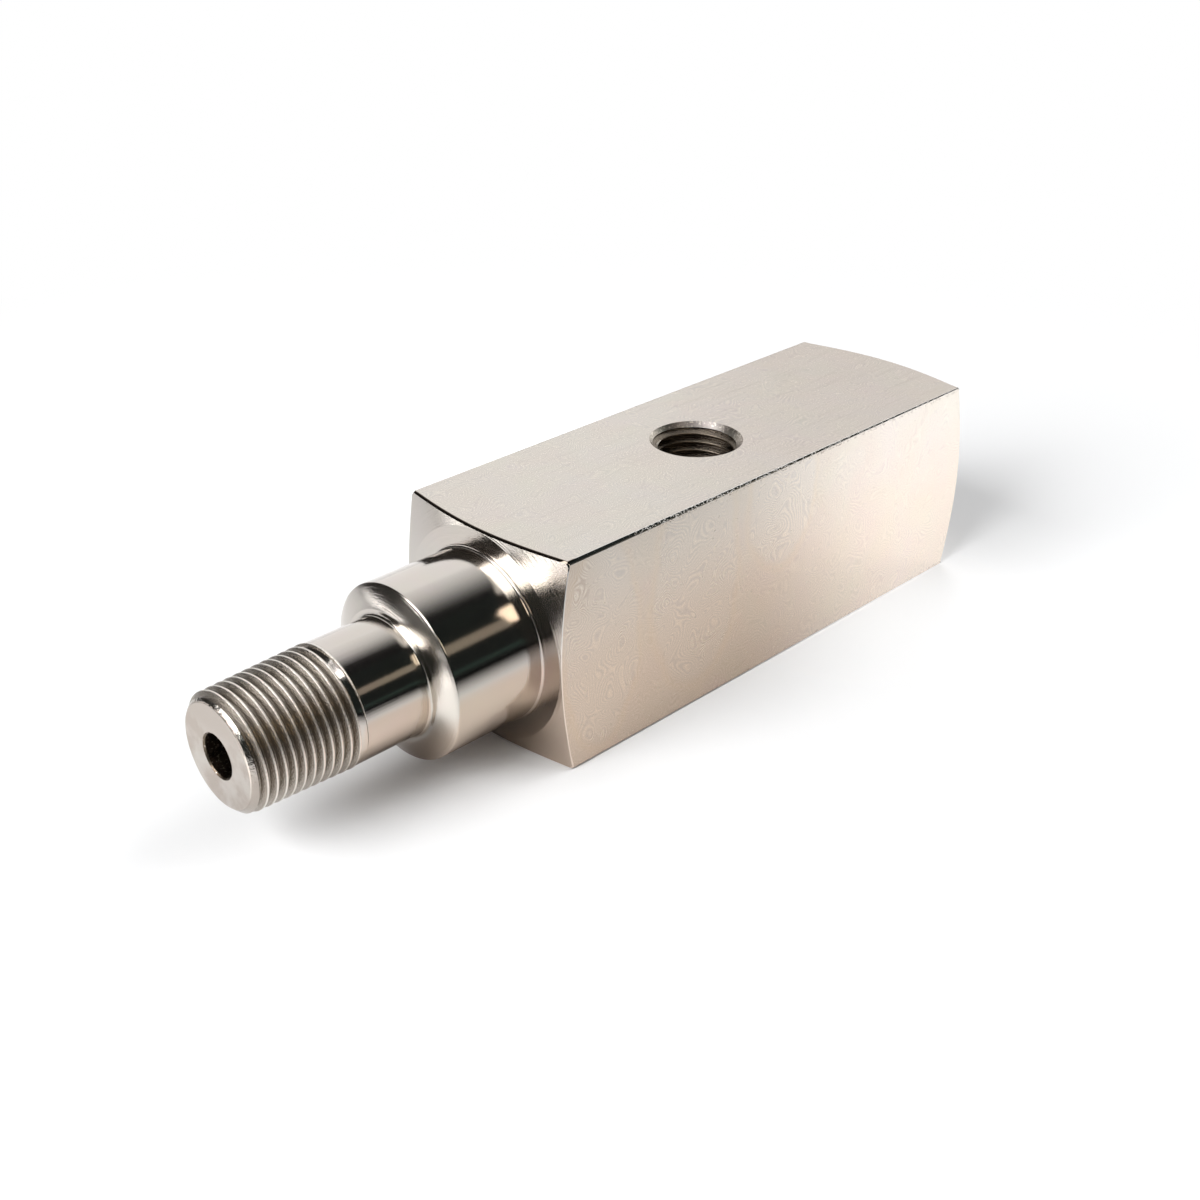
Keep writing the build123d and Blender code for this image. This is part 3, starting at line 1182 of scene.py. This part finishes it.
panel_light = ramp(y * 1.1 + x, -8.0, 42.0, 0.0, 0.75) * ramp(y, -5.0, -15.0)
in_softbox = ramp(y, 24.0, 36.0) * ramp(x, -138.0, -150.0) * ramp(distance, 400.0, 300.0, 0.0, 2.3)
before_tip = window(x, -190.0, -160.0, -100.0, -80.0) * window(y, -18.0, -8.0, 20.0, 34.0) * 0.7
beyond = ramp(x, -250.0, -300.0) * ramp(abs(y), 60.0, 40.0)
panel_glow = shine(tree, (0.92, 0.95, 1), panel_light)
softbox_glow = shine(tree, pure_white, in_softbox + before_tip + beyond)
glows = add(tree, "ShaderNodeAddShader", {0: panel_glow, 1: softbox_glow})
mirrored = add(tree, "ShaderNodeAddShader", {0: dimmed, 1: glows})
glossy = add(tree, "ShaderNodeLightPath")["Is Glossy Ray"]
plug_in(table_output, add(tree, "ShaderNodeMixShader", {0: glossy, 1: seen, 2: mirrored}))
print("table:", len(tree.nodes), "nodes")

# %% [markdown]
# ## The light tent
# Polished metal shows the room more than itself. The room here is a large dome that only glossy rays
# see, painted with what stood round the real part: a white backdrop, a bright panel on the right, a
# softbox on the left, a dark curtain behind the camera. One node group paints one panel, given its
# bearing and its height in degrees.

# %% Node group: tent panel
panel_shape = ("Middle", "Half_width", "Side_softness", "Bottom", "Top", "Edge_softness")
inputs = {"Behind": pure_white, "Colour": pure_white, "Bearing": 0.0, "Height": 0.0}
inputs.update((label.replace("_", " "), 0.0) for label in panel_shape)
group, given = start_group("tent_panel", inputs)
aside = abs(calculate("WRAP", given["Bearing"] - given["Middle"], 180.0, -180.0))
side_end = given["Half width"] + given["Side softness"]
in_width = ramp(aside, given["Half width"], side_end, 1.0, 0.0)
over_bottom = ramp(given["Height"], given["Bottom"] - given["Edge softness"], given["Bottom"])
under_top = ramp(given["Height"], given["Top"], given["Top"] + given["Edge softness"], 1.0, 0.0)
painted = stain(given["Behind"], in_width * (over_bottom * under_top), given["Colour"])
end_group(group, Colour=painted)

# %% Light tent
tent_radius = 4.0
cloth_white = (1.05, 1.05, 1.045)

deselect()
bpy.ops.mesh.primitive_uv_sphere_add(segments=64, ring_count=32, radius=tent_radius, location=studio_centre)
tent = bpy.context.active_object
tent.name = "light_tent"
for ray in ("camera", "diffuse", "shadow", "transmission", "volume_scatter"):
    setattr(tent, f"visible_{ray}", False)

cloth = bpy.data.materials.new("tent_cloth")
tent.data.materials.append(cloth)
tree, cloth_output = start_tree(cloth)
cloth.cycles.emission_sampling = "NONE"
x, y, z = split(calculate("NORMALIZE", add(tree, "ShaderNodeTexCoord")["Object"]))
bearing = calculate("DEGREES", calculate("ARCTAN2", y, x))
height = calculate("DEGREES", calculate("ARCSINE", z))
print("tent of", tent_radius, "m, seen by glossy rays only")

# %% [markdown]
# ## The panels in the tent
# Each panel is hung over the ones before it. It has a colour, which is also its brightness, and then a
# shape in degrees: the bearing of its middle, half its width, the softness of its sides, its bottom and
# top, and the softness of those.

# %% Panels
panels = (
    ("right_wall", (0.84, 0.80, 0.78), 31, 7, 8, -5, 22, 5),
    ("right_panel", (1.5, 1.5, 1.48), 5, 18, 4, -20, 43, 3),
    ("shade_above", (0.012, 0.012, 0.012), -95, 74, 84, 46, 66, 5),
    ("gap_behind", (0.03, 0.028, 0.026), 122, 30, 8, -12, 62, 4),
    ("softbox_foot", (0.10, 0.095, 0.09), 170, 24, 3, 1, 22, 3),
    ("left_softbox", (5.0, 5.0, 5.0), 170, 22, 2, 21, 60, 2),
    ("curtain", (0.014, 0.017, 0.016), -93, 78, 2, -15, 53.5, 1.5),
    ("lamp_behind_camera", (3.1, 2.7, 2.2), -96, 10, 5, 35, 50, 4),
    ("softbox_top", (4.0, 4.0, 4.0), -172, 20, 2, 42, 60, 3),
    ("curtain_foot", (0.026, 0.043, 0.037), -70, 35, 6, 4, 6.5, 2),
    ("warm_strip", (0.29, 0.25, 0.20), -52, 18, 4, 26, 32, 3),
)
seen = cloth_white
for name, brightness, *shape in panels:
    placed = {"Behind": seen, "Colour": brightness, "Bearing": bearing, "Height": height}
    seen = use_group("tent_panel", **placed, **dict(zip(panel_shape, shape)))
    print("  hung", name, "at bearing", shape[0])
plug_in(cloth_output, shine(tree, seen, 1.0))

# %% [markdown]
# ## World and lamps
# The tent gives the table no light. That comes from a plain white world and four large soft lamps: the
# key stands in the left softbox's place and throws the soft shadow to the right of the nose, and weaker
# fills stand on the right, behind and above the camera. They don't mirror in the metal a second time.

# %% World
ambient = 0.05
world = bpy.data.worlds.new("white_room")
bpy.context.scene.world = world
tree, world_output = start_tree(world, "ShaderNodeOutputWorld")
rays = add(tree, "ShaderNodeLightPath")
mirrored = largest(rays["Is Glossy Ray"], rays["Is Transmission Ray"])
shown = ramp(largest(rays["Is Camera Ray"], mirrored), 0.0, 1.0, ambient, 1.0)
plug_in(world_output, add(tree, "ShaderNodeBackground", {"Color": pure_white, "Strength": shown}))
print("world lights at", ambient, "and shows as 1.0")

# %% Lamps
def soft_lamp(name, bearing, height, distance, size, watts):
    """A square area lamp that looks at the part's middle."""
    data = bpy.data.lights.new(name, "AREA")
    data.shape = "SQUARE"
    data.size = size
    data.energy = watts
    lamp = bpy.data.objects.new(name, data)
    bpy.context.scene.collection.objects.link(lamp)
    along, across = cos(radians(bearing)), sin(radians(bearing))
    away = Vector((cos(radians(height)) * along, cos(radians(height)) * across, sin(radians(height))))
    lamp.location = studio_centre + away * distance
    lamp.rotation_euler = away.to_track_quat("Z", "Y").to_euler()
    lamp.visible_glossy = False
    print("  lamp", name, round(watts, 1), "W at", round(distance, 2), "m")


soft_lamp("key_left", 177, 34, 1.1, 0.75, 15.6)
soft_lamp("fill_right", -38, 48, 1.2, 0.9, 6.6)
soft_lamp("fill_behind", 45, 32, 1.2, 0.6, 4.2)
soft_lamp("fill_front", -100, 60, 1.2, 0.9, 1.1)

# %% [markdown]
# ## The camera
# The camera stands close to the thread's tip, low and to the left, as the perspective of the real
# picture shows. Its place and its direction were fitted to the part's own corners and rings.

# %% Camera
camera_place = Vector((-76.462, -145.219, 106.903)) * mm
camera_right = Vector((0.712797, -0.701322, -0.008270))
camera_ahead = Vector((0.612982, 0.628655, -0.478588))
camera_data = bpy.data.cameras.new("photo_camera")
camera_data.sensor_width = 36.0
camera_data.lens = 46.789
camera_data.clip_start = 0.005
camera_data.clip_end = 50.0
camera = bpy.data.objects.new("photo_camera", camera_data)
bpy.context.scene.collection.objects.link(camera)
camera_up = camera_right.cross(camera_ahead)
turn_of_camera = Matrix((camera_right, camera_up, -camera_ahead)).transposed()
camera.matrix_world = Matrix.Translation(camera_place) @ turn_of_camera.to_4x4()
bpy.context.scene.camera = camera
print("camera bearing", round(degrees(atan2(camera_ahead.y, camera_ahead.x)), 1))
print("camera looks down by", round(-degrees(asin(camera_ahead.z)), 1), "degrees")

# %% [markdown]
# ## Colours as written
# The Standard view transform shows each colour as the materials give it.

# %% View transform
bpy.context.scene.view_settings.view_transform = "Standard"
